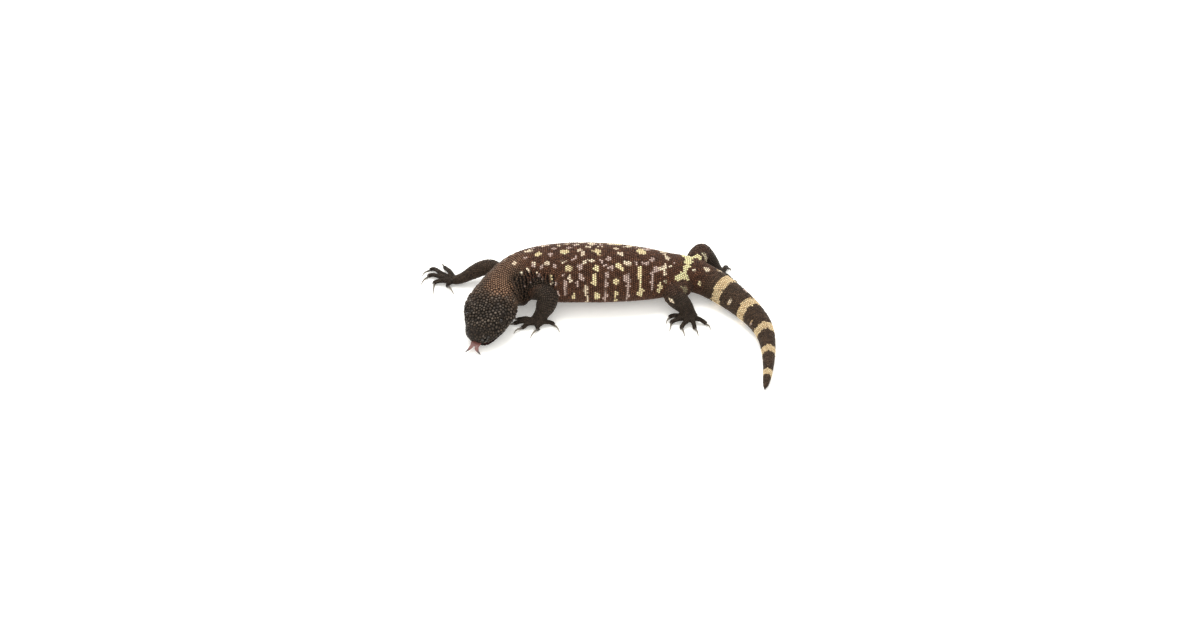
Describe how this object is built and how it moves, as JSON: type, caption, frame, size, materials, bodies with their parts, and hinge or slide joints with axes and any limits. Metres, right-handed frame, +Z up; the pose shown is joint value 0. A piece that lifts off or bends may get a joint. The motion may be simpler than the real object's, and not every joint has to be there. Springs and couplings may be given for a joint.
{
  "type": "beaded lizard model",
  "caption": "Life-size beaded lizard lying on its belly with its blunt head low and turned, forked tongue out, short clawed legs spread and thick banded tail curled to one side.",
  "frame": {"origin": "middle of the footprint, on the floor that the animal lies on", "axes": "+X towards the hips and the curve of the tail, along the straight part of the back; +Y towards the animal's right side; +Z up. The head end is at -X."},
  "size_m": [0.4445, 0.2399, 0.0687],
  "materials": {
    "head": "beaded skin, charcoal, slightly glossy on the beads",
    "body": "beaded skin, dark maroon brown with cream and pink spots",
    "tail": "beaded skin, dark brown with cream bands",
    "limb": "finely beaded skin, near black",
    "claw": "translucent horn",
    "eye": "wet and glossy",
    "tongue": "moist, dusky pink"
  },
  "bodies": {
    "root": {"head": "head", "lower_jaw": "head", "neck": "body", "torso_front": "body", "torso_rear": "body", "tail_1": "tail", "tail_2": "tail", "tail_3": "tail", "tail_4": "tail", "upper_arm_left": "limb", "upper_arm_right": "limb", "forearm_left": "limb", "forearm_right": "limb", "hand_left": "limb", "hand_right": "limb", "thigh_left": "limb", "thigh_right": "limb", "shin_left": "limb", "shin_right": "limb", "foot_left": "limb", "foot_right": "limb", "claw_hand_left_1": "claw", "claw_hand_left_2": "claw", "claw_hand_left_3": "claw", "claw_hand_left_4": "claw", "claw_hand_left_5": "claw", "claw_hand_right_1": "claw", "claw_hand_right_2": "claw", "claw_hand_right_3": "claw", "claw_hand_right_4": "claw", "claw_hand_right_5": "claw", "claw_foot_left_1": "claw", "claw_foot_left_2": "claw", "claw_foot_left_3": "claw", "claw_foot_left_4": "claw", "claw_foot_left_5": "claw", "claw_foot_right_1": "claw", "claw_foot_right_2": "claw", "claw_foot_right_3": "claw", "claw_foot_right_4": "claw", "claw_foot_right_5": "claw", "eye_left": "eye", "eye_right": "eye", "tongue": "tongue"}
  },
  "joints": []
}
